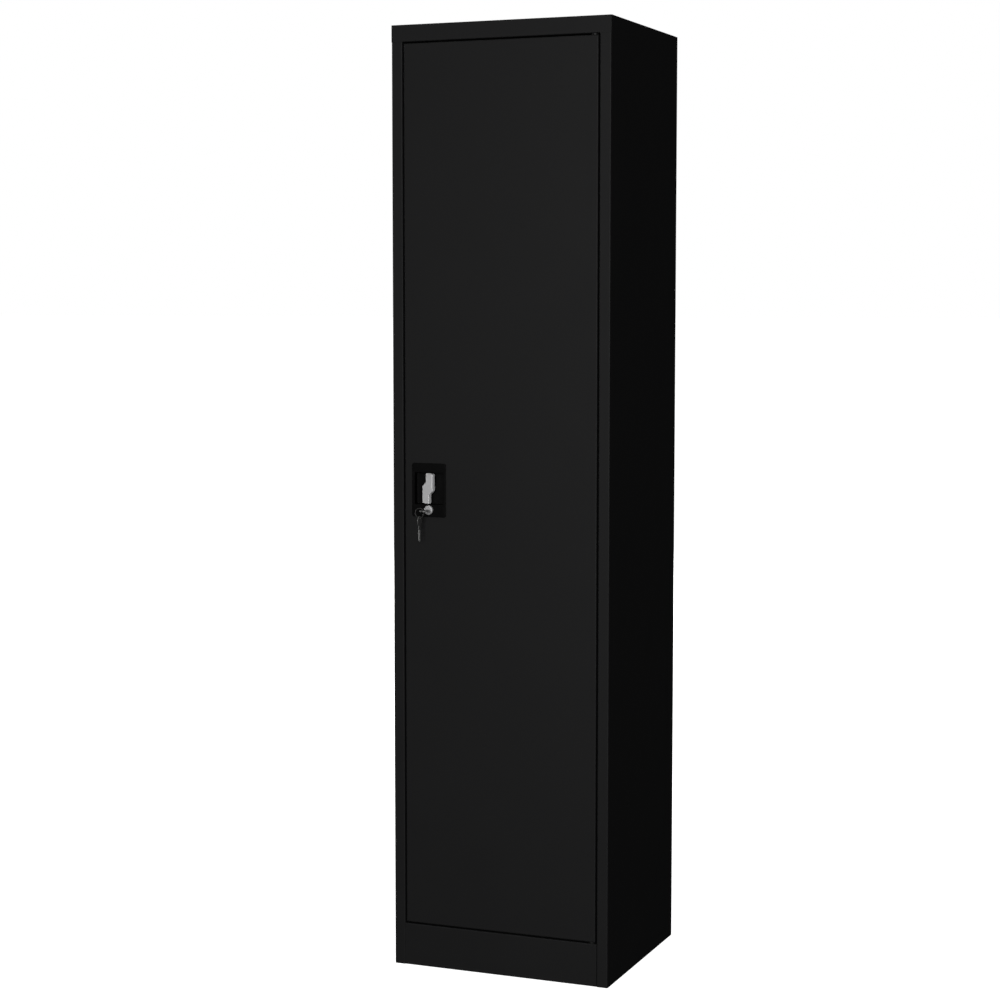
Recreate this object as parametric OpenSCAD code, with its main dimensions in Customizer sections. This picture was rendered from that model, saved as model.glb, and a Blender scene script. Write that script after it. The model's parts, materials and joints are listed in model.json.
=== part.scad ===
// Tall one-door steel cabinet with a turn handle, bolt rods, a cylinder lock and loose shelves.
// Millimetres, +Z up. The origin is on the floor, in the middle of the casing's footprint. The door
// faces -Y and is hinged on the right, at +X. Depths named d run back from the front face.

/* [Cabinet] */
// Overall width
cabinet_w = 450; // [400:5:600]
// Overall depth of the casing
cabinet_d = 400; // [350:5:500]
// Overall height
cabinet_h = 1850; // [1600:10:2000]
// Thickness of the folded steel sheet
sheet_t = 0.8; // [0.6:0.1:1]
// Outer radius of the bends
bend_r = 2; // [1.4:0.1:2.4]
// Width of the front stiles
stile_w = 22.5; // [20:0.5:32]
// Height of the rail over the door
rail_h = 33; // [30:1:60]
// Height of the plinth under the door
plinth_h = 84; // [60:1:120]
// Depth of the jambs round the door, to the back of their stop lip
jamb_d = 25; // [24:0.5:35]
// Width of the stop lip that the door closes against
stop_lip = 10; // [9.5:0.5:14]
// Width of the flanges folded in at the back and the foot
flange_w = 15; // [10:1:20]
// Hairline left open between two welded panels
joint_gap = 0.2; // [0.1:0.05:0.4]
// Diameter of the two wall-fixing holes in the back
wall_hole_d = 6.5; // [4.5:0.5:8.5]
// Distance between the two wall-fixing holes
wall_hole_pitch = 300; // [200:10:350]
// Distance of the wall-fixing holes below the top
wall_hole_drop = 70; // [50:5:150]

/* [Plinth and floor] */
// Width of the flange folded in round the plinth frame's foot
foot_flange = 20; // [15:1:30]
// Width of the flange folded in round the plinth frame's top
seat_flange = 36; // [32:1:50]
// Depth of the floor panel's side skirts
floor_skirt = 12; // [8:1:20]

/* [Door] */
// Thickness of the door
door_t = 20; // [19.5:0.1:20.4]
// Gap between the door and its frame
door_gap = 3; // [2.5:0.1:4]
// Width of the door's folded back lip
door_lip = 12; // [10:0.5:13]
// Width of the stiffener's web
stiffener_w = 60; // [40:5:90]
// Width of the stiffener's feet
stiffener_foot = 12; // [8:1:16]
// Place of the stiffener, to the right of the door's middle
stiffener_x = 30; // [10:5:60]
// Radius of the rubber door buffers
buffer_r = 4; // [3:0.5:4]
// Clearance where one piece rests on another that moves
seat_gap = 0.3; // [0.2:0.05:0.5]

/* [Hinges] */
// Distance of the hinge axis from the door's edge
hinge_in = 9; // [8.5:0.5:10]
// Distance of the hinge axis behind the front face
hinge_back = 8; // [7.5:0.5:9]
// Diameter of the hinge pins
hinge_pin_d = 6; // [5:0.5:7]
// Clearance of a pin in its hole, on the radius
run_clear = 0.05; // [0.02:0.01:0.09]
// Wall of the nylon hinge bushes
bush_wall = 1.5; // [1:0.1:2]
// Width of the hinge bushes' collars beyond their sleeves
bush_collar = 2.5; // [1:0.1:3]
// Length of the bushes' sleeves
bush_l = 8; // [6:0.5:12]
// How far the hinge pins reach into their bushes
pin_reach = 6; // [4:0.5:6]
// Thickness of the hinge brackets
bracket_t = 2; // [1.5:0.1:3]
// Height of the upper hinge bracket
bracket_h = 42; // [38:1:60]
// Length of the hinge brackets along the door's width
bracket_l = 17; // [15.5:0.5:22]
// Height of the lower hinge bracket
low_bracket_h = 30; // [20:1:50]
// Length of the upper pin's finger pull
finger_l = 18; // [14:1:24]
// Length of the hinge spring at rest
spring_l = 20; // [18:1:24]
// Turns of the hinge spring
spring_turns = 6; // [5:1:8]
// Diameter of the spring's wire
spring_wire = 1; // [0.6:0.1:1.1]
// Thickness of the clip on the upper pin
clip_t = 1.2; // [0.8:0.1:2]

/* [Lock cup] */
// Distance of the lock's middle line from the door's free edge
cup_in = 51.5; // [51:0.5:60]
// Height of the cup's middle above the floor
cup_z = 952; // [800:5:1100]
// Width of the cup's bezel
cup_w = 72; // [70.5:0.5:80]
// Height of the cup's bezel
cup_h = 105.5; // [103:0.5:115]
// How far the bezel stands proud of the door
bezel_t = 2; // [1:0.25:3]
// Radius of the bezel's corners
cup_corner_r = 4; // [3:0.5:8]
// Width of the finger recess
recess_w = 61; // [56:0.5:62]
// Height of the finger recess
recess_h = 62.5; // [61.5:0.25:64]
// Depth of the finger recess
recess_d = 11; // [9:0.25:11.4]
// Height of the band under the recess, where the lock sits
lock_band = 24.5; // [23:0.5:26]
// Wall of the plastic cup
cup_wall = 1.6; // [1.2:0.1:2]

/* [Handle] */
// Height of the handle's axis above the recess's middle
handle_rise = 0.5; // [0:0.1:1]
// Gap between the recess and the circle that the grip's ends sweep
grip_gap = 0.7; // [0.5:0.1:4]
// Width of the grip
grip_w = 14; // [12:0.5:16]
// How far each half of the grip is set off its middle line
grip_offset = 3.6; // [2:0.2:4]
// How far the grip stands proud of the door
grip_proud = 9; // [6:0.5:12]
// Thickness of the grip
grip_t = 12; // [9:0.5:13]
// Radius of the handle's round shaft
shaft_r = 6; // [5.8:0.1:7]
// Width of the square that drives the rotor
square_w = 8; // [7:0.5:8]

/* [Bolt works] */
// Thickness of the bolt rods
rod_t = 2; // [1.5:0.1:2.2]
// Width of the bolt rods
rod_w = 10; // [8:0.5:10]
// Distance of the rods from the lock's middle line
rod_off = 17; // [16:0.5:17]
// Radius of the rotor
rotor_r = 20; // [19.5:0.5:21]
// Thickness of the rotor
rotor_t = 3; // [2.5:0.1:3.5]
// Distance of the crank pins from the rotor's axis
crank_r = 16; // [15.5:0.1:16.4]
// Radius of the crank pins
crank_pin_r = 2.5; // [2:0.1:3]
// Rise of the rods for each radian that the rotor turns, as a share of the crank's length
throw_share = 0.93; // [0.91:0.01:0.95]
// Clearance between two layers of the works
works_gap = 1.5; // [1.2:0.1:1.6]
// Wall of the lock case
case_t = 1; // [0.8:0.1:1.5]
// Radius of the lock cylinder's body
cylinder_r = 8; // [7.5:0.1:8.5]
// Radius of the turning plug
plug_r = 6; // [5.6:0.1:6.2]
// Radius that the locking cam reaches
cam_r = 26; // [25:0.25:27]

/* [Keys] */
// Radius of the key's bow
bow_r = 10; // [8:0.5:11]
// Radius of the hole in the bow
bow_hole_r = 2.5; // [2.2:0.1:3]
// Distance from the bow's hole to the key's shoulder
key_neck = 23; // [21:0.5:26]
// Length of the key's blade
blade_l = 23; // [20:0.5:24]
// Width of the key's blade
blade_w = 7; // [6:0.2:7.6]
// Thickness of the keys
key_t = 2; // [1.6:0.1:2.2]
// Radius of the key ring, to the middle of its wire
ring_r = 9; // [8:0.5:12]
// Radius of the key ring's wire
ring_wire_r = 0.9; // [0.6:0.1:1]
// Droop of the key ring below the level
ring_droop = 22; // [10:1:25]

/* [Shelves] */
// Number of loose shelves
shelf_count = 4; // [4:1:4]
// Height of a shelf's folded edge
shelf_h = 25; // [18:1:35]
// Width of the lip under a shelf's edge
shelf_lip = 12; // [8:1:16]
// Distance of the shelves behind the front face
shelf_in = 42; // [36:1:60]
// Distance of the shelves from the back panel
shelf_back = 8; // [4:1:20]
// Distance of the shelves from the uprights
shelf_side = 1.5; // [1:0.1:3]
// Depth of the slotted uprights
upright_d = 10; // [8:0.5:14]
// Width of the slotted uprights
upright_w = 26; // [20:1:34]
// Distance of the front uprights' middle from the front face
upright_front = 75; // [60:1:120]
// Distance of the rear uprights' middle from the back panel
upright_rear = 50; // [30:1:100]
// Gap between the uprights and the floor panel
upright_foot = 6; // [2:1:20]
// Distance from an upright's end to its first slot
slot_end = 20; // [12:1:30]
// Distance from slot to slot
slot_pitch = 25; // [20:1:32]
// Height of a slot
slot_h = 10; // [8:0.5:12]
// Width of a slot
slot_w = 5; // [4:0.5:7]
// Thickness of the shelf clips
clip_sheet = 1.5; // [1:0.1:2]
// Width of the shelf clips
clip_w = 16; // [10:1:20]
// Length of the clips' ledge
clip_ledge = 12; // [8:1:16]

/* [Hidden] */
$fn = 48;

// Colours of the finishes
BLACK_PAINT = [0.11, 0.11, 0.115];
BLACK_PLASTIC = [0.04, 0.04, 0.042];
RUBBER = [0.06, 0.06, 0.06];
SATIN_ZINC = [0.68, 0.68, 0.69];
BRIGHT_STEEL = [0.74, 0.74, 0.76];
PLATED_STEEL = [0.62, 0.62, 0.6];
BLACK_NYLON = [0.07, 0.07, 0.07];

// Planes of the casing
half_w = cabinet_w / 2;
front_y = -cabinet_d / 2;
back_y = cabinet_d / 2;
opening_x = half_w - stile_w;
opening_top = cabinet_h - rail_h;
inner_x = half_w - sheet_t;
inner_back_y = back_y - sheet_t;
lip_x = opening_x - stop_lip;

// Planes of the door
door_x = opening_x - door_gap;
door_bottom = plinth_h + door_gap;
door_top = opening_top - door_gap;
hinge_x = door_x - hinge_in;
hinge_y = front_y + hinge_back;

// Hinge sizes
pin_r = hinge_pin_d / 2;
bush_r = pin_r + bush_wall;
collar_r = bush_r + bush_collar;
collar_h = door_gap - seat_gap;
bracket_x = door_x - sheet_t;
bracket_margin = bend_r;
arm_z = door_top - sheet_t - bracket_h;
spring_z = arm_z + bracket_t;
clip_z = spring_z + spring_l;
finger_z = arm_z - pin_r - seat_gap;
bracket_near = front_y + sheet_t + bracket_margin;
bracket_far = front_y + door_t - sheet_t - bracket_margin;
clip_groove = 0.5;
clip_wall = 3;
head_h = 3;
head_extra = 2;

// Middle lines of the lock
lock_x = cup_in - door_x;
cup_bottom = cup_z - cup_h / 2;
recess_mid = cup_bottom + lock_band + recess_h / 2;
handle_z = recess_mid + handle_rise;
cylinder_rise = 1.4;
cylinder_z = cup_bottom + lock_band / 2 + cylinder_rise;

// Cup and handle
bezel_lap = 2.2;
cut_w = cup_w - 2 * bezel_lap;
cut_h = cup_h - 2 * bezel_lap;
cut_corner_r = cup_corner_r - 1;
spigot_gap = 0.3;
spigot_d = 3;
bearing_wall = 3;
grip_reach = min(recess_w / 2, recess_h / 2 - handle_rise) - grip_gap;
grip_slope_inner = 12;
grip_slope_outer = 5;
grip_collar = 2;

// Layers of the lock, as depths behind the front face
cup_back = recess_d + cup_wall;
bearing_d = cup_back + works_gap;
crank_tip = bearing_d + 0.9;
rod_d = crank_tip + 1;
rotor_d = rod_d + rod_t + works_gap;
case_back = rotor_d + rotor_t + works_gap;
case_rear = case_back + case_t;
hub_end = case_rear + seat_gap;
washer_t = 1;
cam_d = rotor_d + 0.5;
cam_t = 2;

// Lock case, its screws and the rotor's hub
case_lap = 4.2;
case_w = cut_w + 2 * case_lap;
case_h = cut_h + 2 * case_lap;
boss_r = 4;
boss_inset = boss_r + 0.4;
boss_x = cut_w / 2 - boss_inset;
boss_z = cut_h / 2 - boss_inset;
case_screw_r = 2;
case_screw_l = 8;
case_screw_head = 2.2;
screw_well = 10;
hub_r = 7.5;
slot_clear = 0.6;

// Screws on the handle's shaft and on the plug's tail
shaft_screw_r = 2.5;
shaft_screw_l = 10;
shaft_screw_head_r = 4.5;
shaft_screw_head = 3;
washer_lap = 1.5;
tail_w = 6;
cam_screw_r = 1.5;
cam_screw_l = 3;
cam_screw_head_r = 3.5;
cam_screw_head = 1.7;

// Cylinder, nut and cam
cylinder_proud = 4;
cylinder_lip = 1.2;
cylinder_end = rod_d + 1;
nut_t = 3;
nut_r = cylinder_r + 4;
cam_hub_r = 7;
cam_root = 3;
cam_spread = 9;
cam_gap = 0.5;

// Travel of the rods: the crank swings from 45 degrees under its level to 45 degrees over it
crank_swing = 45;
yoke_rest = -throw_share * crank_r * crank_swing * PI / 180;
pin_rest = crank_r * sin(crank_swing);
yoke_clear = 0.7;
yoke_side = 0.4;
yoke_wall = 3.3;
yoke_end = 2;
rod_tip_gap = 0.5;
rod_chamfer = 2;
guide_h = 10;
guide_side = 5;
guide_cover = 1;

// Keys
plug_front = bezel_t + cylinder_proud + 0.3;
key_shoulder = plug_front + seat_gap;
key_hole_d = -(key_shoulder + key_neck);
bow_land = 1.5;
bow_centre = bow_r - bow_hole_r - bow_land;
stem_w = 9;
blade_point = 3;
cut_pitch = 2;
cut_depths = [1.6, 0.4, 1.8, 0.8, 2];
blade_clear = 0.3;
ring_play = 1;
hang_play = bow_hole_r - ring_wire_r - 0.3;
ring_x = lock_x + ring_play - ring_r * cos(ring_droop);
ring_z = cylinder_z - ring_r * sin(ring_droop);
key_y = front_y + key_hole_d;

// Shelves and their slots
web_x = inner_x - upright_d;
upright_z = plinth_h + sheet_t + upright_foot;
slot_count = floor((opening_top - upright_z - 2 * slot_end) / slot_pitch) + 1;
hook_h = 3;
ledge_drop = slot_h / 2 - hook_h;
hook_play = 0.2;
hook_side = 0.5;
hook_drop = 6;
clip_plate = 11;
front_upright_y = front_y + upright_front;
rear_upright_y = inner_back_y - upright_rear;

// Spring on the upper pin
SPRING_STEPS = 8;
SPRING_SIDES = 6;
spring_gap = 0.1;
spring_play = 0.6;
spring_rings = SPRING_STEPS * spring_turns;
spring_coil_r = pin_r + spring_play + spring_wire / 2;
spring_rise = spring_l - spring_wire - 2 * spring_gap;

BEND_STEPS = 4;
CORNER_STEPS = 6;
// How far a cutter runs past what it cuts
over = 1;

function unit(v) = v / norm(v);
function left_of(v) = [-v[1], v[0]];
function turned(v, a) = [v[0] * cos(a) - v[1] * sin(a), v[0] * sin(a) + v[1] * cos(a)];
function turn_angle(u, v) = atan2(u[0] * v[1] - u[1] * v[0], u[0] * v[0] + u[1] * v[1]);
function slot_z(i) = upright_z + slot_end + i * slot_pitch;
function shelf_slot(i) = round(i * slot_count / (shelf_count + 1));
function flipped(list) = [for (i = [len(list) - 1 : -1 : 0]) list[i]];

// Arc points of one bend at corner p, between the directions u and v, on the face that lies h to
// the left of the centre line
function bend_points(p, u, v, r, h) =
    let (a = turn_angle(u, v), s = sign(a), centre = p - r * tan(abs(a) / 2) * u + s * r * left_of(u))
    [for (k = [0 : BEND_STEPS]) centre + (r - s * h) * turned(-s * left_of(u), a * k / BEND_STEPS)];

// One face of a folded strip, from its centre line
function strip_face(path, r, h) = [
    for (i = [0 : len(path) - 1])
        if (i == 0) path[0] + h * left_of(unit(path[1] - path[0]))
        else if (i == len(path) - 1) path[i] + h * left_of(unit(path[i] - path[i - 1]))
        else each bend_points(path[i], unit(path[i] - path[i - 1]), unit(path[i + 1] - path[i]), r, h)
];

// Rectangle with rounded corners, from its low corner to its high corner
function rounded_points(low, high, r, steps) =
    let (turn_x = [high[0] - r, low[0] + r, low[0] + r, high[0] - r])
    let (turn_y = [high[1] - r, high[1] - r, low[1] + r, low[1] + r])
    [
        for (corner = [0 : 3], k = [0 : steps])
            let (a = 90 * (corner + k / steps))
                [turn_x[corner] + r * cos(a), turn_y[corner] + r * sin(a)]
    ];

// Section of a folded sheet whose centre line is path
module folded(path) {
    r = bend_r - sheet_t / 2;
    polygon(concat(strip_face(path, r, sheet_t / 2), flipped(strip_face(path, r, -sheet_t / 2))));
}

module rounded_plate(low, high, r) {
    polygon(rounded_points(low, high, r, CORNER_STEPS));
}

// Prisms along each axis: the 2D plane is YZ, XZ or XY
module along_x(x0, x1) {
    translate([x0, 0, 0]) rotate([90, 0, 90]) linear_extrude(x1 - x0) children();
}

module along_y(y0, y1) {
    translate([0, y1, 0]) rotate([90, 0, 0]) linear_extrude(y1 - y0) children();
}

module along_z(z0, z1) {
    translate([0, 0, z0]) linear_extrude(z1 - z0) children();
}

// Box between two corners
module block(low, high) {
    translate(low) cube(high - low);
}

// Prism through the door's thickness, between two depths behind the front face
module through_door(d0, d1) {
    along_y(front_y + d0, front_y + d1) children();
}

// Round bar across the door at (x, z), between two depths
module cross_bar(x, z, r, d0, d1) {
    through_door(d0, d1) translate([x, z]) circle(r = r);
}

// Upright round bar on the hinge axis
module hinge_bar(r, z0, z1) {
    translate([hinge_x, hinge_y, z0]) cylinder(r = r, h = z1 - z0);
}

// Room for a bolt rod: side is +1 for the upper rod and -1 for the lower one
module rod_room(side, clear, z0, z1) {
    x = lock_x + side * rod_off;
    block([x - rod_w / 2 - clear, front_y + rod_d - clear, z0],
          [x + rod_w / 2 + clear, front_y + rod_d + rod_t + clear, z1]);
}

// Casing

module side_panel() {
    rear = [[half_w - flange_w, back_y - 1.5 * sheet_t], [half_w - sheet_t / 2, back_y - 1.5 * sheet_t]];
    jamb = [
        [half_w - sheet_t / 2, front_y + sheet_t / 2],
        [opening_x + sheet_t / 2, front_y + sheet_t / 2],
        [opening_x + sheet_t / 2, front_y + jamb_d - sheet_t / 2],
        [lip_x, front_y + jamb_d - sheet_t / 2],
    ];
    head = [[half_w - sheet_t / 2, front_y + bend_r + joint_gap]];
    color(BLACK_PAINT) {
        difference() {
            along_z(0, opening_top - joint_gap) folded(concat(rear, jamb));
            block([lip_x - over, front_y + bend_r, -over],
                  [opening_x, front_y + jamb_d + over, plinth_h + joint_gap]);
        }
        along_z(opening_top - joint_gap, cabinet_h - sheet_t) folded(concat(rear, head));
        block([half_w - flange_w, front_y + jamb_d + joint_gap, 0],
              [half_w - sheet_t / 2, back_y - 2 * sheet_t, sheet_t]);
    }
}

module left_side_panel() {
    mirror([1, 0, 0]) side_panel();
}

module right_side_panel() {
    side_panel();
}

module back_panel() {
    color(BLACK_PAINT) difference() {
        block([-half_w, inner_back_y, 0], [half_w, back_y, cabinet_h]);
        along_y(inner_back_y - over, back_y + over)
            for (side = [-1, 1])
                translate([side * wall_hole_pitch / 2, cabinet_h - wall_hole_drop]) circle(d = wall_hole_d);
    }
}

// The top sheet, the rail folded down in front of it, the jamb behind the rail with its stop lip,
// and a skirt that is welded to the back panel
module top_panel() {
    lip_y = front_y + jamb_d - sheet_t / 2;
    skirt_y = inner_back_y - sheet_t / 2;
    path = [
        [lip_y, opening_top - stop_lip],
        [lip_y, opening_top + sheet_t / 2],
        [front_y + sheet_t / 2, opening_top + sheet_t / 2],
        [front_y + sheet_t / 2, cabinet_h - sheet_t / 2],
        [skirt_y, cabinet_h - sheet_t / 2],
        [skirt_y, cabinet_h - flange_w],
    ];
    color(BLACK_PAINT) difference() {
        union() {
            along_x(-half_w, half_w) folded(path);
            // Over the stiles the rail's lower bend is filled with weld and ground flush
            for (side = [0, 1]) mirror([side, 0, 0])
                block([opening_x, front_y, opening_top], [half_w, front_y + sheet_t, opening_top + 2 * bend_r]);
        }
        for (side = [0, 1]) mirror([side, 0, 0]) {
            block([inner_x - joint_gap, front_y + bend_r, opening_top - bend_r],
                  [half_w + over, back_y, cabinet_h - sheet_t]);
            block([lip_x - joint_gap, front_y + bend_r, opening_top - stop_lip - over],
                  [half_w + over, front_y + jamb_d + over, opening_top]);
            block([half_w - flange_w - joint_gap, inner_back_y - bend_r, opening_top],
                  [half_w + over, back_y, cabinet_h - sheet_t]);
        }
        hinge_bar(bush_r + run_clear, opening_top - over, opening_top + sheet_t + over);
        rod_room(1, slot_clear, opening_top - over, opening_top + sheet_t + over);
    }
}

// A ring folded from sheet: plinth in front, foot flange all round and a seat for the floor panel
module plinth_frame() {
    x = opening_x - joint_gap;
    color(BLACK_PAINT) difference() {
        along_x(-x, x)
            polygon(rounded_points([front_y, 0], [inner_back_y, plinth_h], bend_r, BEND_STEPS));
        along_x(-x + sheet_t, x - sheet_t)
            polygon(rounded_points([front_y + sheet_t, sheet_t],
                                   [inner_back_y - sheet_t, plinth_h - sheet_t],
                                   bend_r - sheet_t, BEND_STEPS));
        block([-x + foot_flange, front_y + foot_flange, -over],
              [x - foot_flange, inner_back_y - foot_flange, plinth_h / 2]);
        block([-x + seat_flange, front_y + seat_flange, plinth_h / 2],
              [x - seat_flange, inner_back_y - seat_flange, plinth_h + over]);
        hinge_bar(bush_r + run_clear, plinth_h - sheet_t - over, plinth_h + over);
        rod_room(-1, slot_clear, plinth_h - sheet_t - over, plinth_h + over);
    }
}

// Floor with side skirts, and a lip in front that the foot of the door closes against
module floor_panel() {
    skirt_x = inner_x - joint_gap - sheet_t / 2;
    floor_z = plinth_h + sheet_t / 2;
    front = front_y + jamb_d + joint_gap;
    color(BLACK_PAINT) {
        along_y(front, inner_back_y - sheet_t - bend_r) folded([
            [-skirt_x, plinth_h - floor_skirt], [-skirt_x, floor_z],
            [skirt_x, floor_z], [skirt_x, plinth_h - floor_skirt],
        ]);
        along_x(joint_gap - lip_x, lip_x - joint_gap) folded([
            [front_y + jamb_d - sheet_t / 2, plinth_h + stop_lip],
            [front_y + jamb_d - sheet_t / 2, floor_z],
            [front + floor_skirt, floor_z],
        ]);
    }
}

// Shelf fittings

// Slotted channel on the right side panel, its middle at y
module upright(y) {
    far = upright_w / 2 - sheet_t / 2;
    color(BLACK_PAINT) difference() {
        along_z(upright_z, opening_top) folded([
            [inner_x, y - far], [web_x + sheet_t / 2, y - far],
            [web_x + sheet_t / 2, y + far], [inner_x, y + far],
        ]);
        along_x(web_x - over, web_x + sheet_t + over)
            for (i = [0 : slot_count - 1])
                translate([y - slot_w / 2, slot_z(i) - slot_h / 2]) square([slot_w, slot_h]);
    }
}

module upright_left_front() {
    mirror([1, 0, 0]) upright(front_upright_y);
}

module upright_left_rear() {
    mirror([1, 0, 0]) upright(rear_upright_y);
}

module upright_right_front() {
    upright(front_upright_y);
}

module upright_right_rear() {
    upright(rear_upright_y);
}

// Bent steel clip on the right: a ledge, a plate against the upright and a hook through its slot
module shelf_clip(y, z) {
    top = z - ledge_drop;
    foot = z - slot_h / 2;
    hook_x = web_x + sheet_t + hook_play;
    hook_reach = slot_w / 2 - hook_side;
    block([web_x - clip_ledge, y - clip_w / 2, top - clip_sheet], [web_x, y + clip_w / 2, top]);
    block([web_x - clip_sheet, y - clip_w / 2, foot - clip_plate], [web_x, y + clip_w / 2, top]);
    block([web_x - clip_sheet, y - hook_reach, foot], [hook_x + clip_sheet, y + hook_reach, top]);
    block([hook_x, y - hook_reach, foot - hook_drop], [hook_x + clip_sheet, y + hook_reach, top]);
}

module shelf_clips() {
    color(PLATED_STEEL)
        for (side = [0, 1], y = [front_upright_y, rear_upright_y], i = [1 : shelf_count])
            mirror([side, 0, 0]) shelf_clip(y, slot_z(shelf_slot(i)));
}

// Shelf: a tray turned over, with lips folded in under all four edges
module shelf(i) {
    x = web_x - shelf_side;
    low = [front_y + shelf_in, slot_z(shelf_slot(i)) - ledge_drop + seat_gap];
    high = [inner_back_y - shelf_back, low[1] + shelf_h];
    wall = [sheet_t, sheet_t];
    color(BLACK_PAINT) difference() {
        along_x(-x, x) polygon(rounded_points(low, high, bend_r, BEND_STEPS));
        along_x(-x + sheet_t, x - sheet_t)
            polygon(rounded_points(low + wall, high - wall, bend_r - sheet_t, BEND_STEPS));
        block([-x + shelf_lip, low[0] + shelf_lip, low[1] - over],
              [x - shelf_lip, high[0] - shelf_lip, low[1] + shelf_h / 2]);
    }
}

module door_buffers() {
    color(RUBBER)
        for (share = [1 / 6, 3 / 6, 5 / 6])
            cross_bar(-lip_x - buffer_r, door_bottom + (door_top - door_bottom) * share, buffer_r,
                      door_t + seat_gap, jamb_d - sheet_t);
}

// Hinges

// Flanged nylon bush: the collar lies in the door gap and the sleeve runs through the frame
module bush(collar_z, sleeve_z, low, high) {
    color(BLACK_NYLON) difference() {
        union() {
            hinge_bar(collar_r, collar_z[0], collar_z[1]);
            hinge_bar(bush_r, sleeve_z[0], sleeve_z[1]);
        }
        hinge_bar(pin_r + run_clear, low - over, high + over);
    }
}

module hinge_bush_upper() {
    bush([opening_top - collar_h, opening_top], [opening_top - collar_h, opening_top + bush_l],
         opening_top - collar_h, opening_top + bush_l);
}

module hinge_bush_lower() {
    bush([plinth_h, plinth_h + collar_h], [plinth_h - bush_l, plinth_h + collar_h],
         plinth_h - bush_l, plinth_h + collar_h);
}

// Channel bracket welded inside the door's top corner; the pin slides through both arms
module upper_hinge_bracket() {
    top = door_top - sheet_t;
    color(PLATED_STEEL) difference() {
        union() {
            block([bracket_x - bracket_t, bracket_near, arm_z],
                  [bracket_x, bracket_far, top]);
            block([bracket_x - bracket_l, bracket_near, arm_z],
                  [bracket_x, bracket_far, arm_z + bracket_t]);
            block([bracket_x - bracket_l, bracket_near, top - bracket_t],
                  [bracket_x, bracket_far, top]);
        }
        hinge_bar(pin_r + run_clear, arm_z - over, top + over);
    }
}

module lower_hinge_bracket() {
    foot_z = door_bottom + sheet_t;
    color(PLATED_STEEL) difference() {
        union() {
            block([bracket_x - bracket_t, bracket_near, foot_z],
                  [bracket_x, bracket_far, foot_z + low_bracket_h]);
            block([bracket_x - bracket_l, bracket_near, foot_z],
                  [bracket_x, bracket_far, foot_z + bracket_t]);
        }
        hinge_bar(pin_r + run_clear, foot_z - over, foot_z + bracket_t + over);
    }
}

module lower_hinge_pin() {
    seat = door_bottom + sheet_t + bracket_t;
    color(PLATED_STEEL) {
        hinge_bar(pin_r, plinth_h - pin_reach, seat + head_h);
        hinge_bar(pin_r + head_extra, seat, seat + head_h);
    }
}

// Sliding pin with a groove for its clip and a finger pull bent out of its foot
module upper_hinge_pin() {
    color(PLATED_STEEL) difference() {
        union() {
            hinge_bar(pin_r, finger_z, opening_top + pin_reach);
            translate([hinge_x, hinge_y, finger_z]) sphere(r = pin_r);
            translate([hinge_x, hinge_y, finger_z]) rotate([0, -90, 0]) cylinder(r = pin_r, h = finger_l);
        }
        difference() {
            hinge_bar(pin_r + over, clip_z, clip_z + clip_t);
            hinge_bar(pin_r - clip_groove, clip_z - over, clip_z + clip_t + over);
        }
    }
}

module hinge_pin_clip() {
    color(BRIGHT_STEEL) difference() {
        hinge_bar(pin_r + clip_wall, clip_z, clip_z + clip_t);
        hinge_bar(pin_r - clip_groove + run_clear, clip_z - over, clip_z + clip_t + over);
        block([hinge_x - pin_r - clip_wall - over, hinge_y - pin_r / 2, clip_z - over],
              [hinge_x, hinge_y + pin_r / 2, clip_z + clip_t + over]);
    }
}

// Compression spring between the bracket's lower arm and the clip: one unbroken helix
function spring_point(ring, side) =
    let (a = 360 * ring / SPRING_STEPS, b = 360 * side / SPRING_SIDES)
    let (out = spring_coil_r + spring_wire / 2 * cos(b))
    [out * cos(a), out * sin(a),
     spring_gap + spring_wire / 2 + spring_rise * ring / spring_rings + spring_wire / 2 * sin(b)];

module hinge_spring() {
    points = [for (ring = [0 : spring_rings], side = [0 : SPRING_SIDES - 1]) spring_point(ring, side)];
    walls = [
        for (ring = [0 : spring_rings - 1], side = [0 : SPRING_SIDES - 1])
            let (next = (side + 1) % SPRING_SIDES, a = ring * SPRING_SIDES)
                each [[a + side, a + SPRING_SIDES + side, a + next],
                      [a + next, a + SPRING_SIDES + side, a + SPRING_SIDES + next]]
    ];
    last = spring_rings * SPRING_SIDES;
    start_cap = [for (side = [1 : SPRING_SIDES - 2]) [0, side, side + 1]];
    end_cap = [for (side = [1 : SPRING_SIDES - 2]) [last, last + side + 1, last + side]];
    least_gap = min([
        for (ring = [0 : spring_rings - SPRING_STEPS], near = [-1 : 1], side = [0 : SPRING_SIDES - 1])
            for (other = [0 : SPRING_SIDES - 1])
                norm(spring_point(ring + SPRING_STEPS + near, other) - spring_point(ring, side))
    ]);
    echo(str("Least gap of the hinge spring to itself: ", least_gap, " mm"));
    color(BRIGHT_STEEL) translate([hinge_x, hinge_y, spring_z])
        polyhedron(points, concat(walls, start_cap, end_cap));
}

// Door

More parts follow.
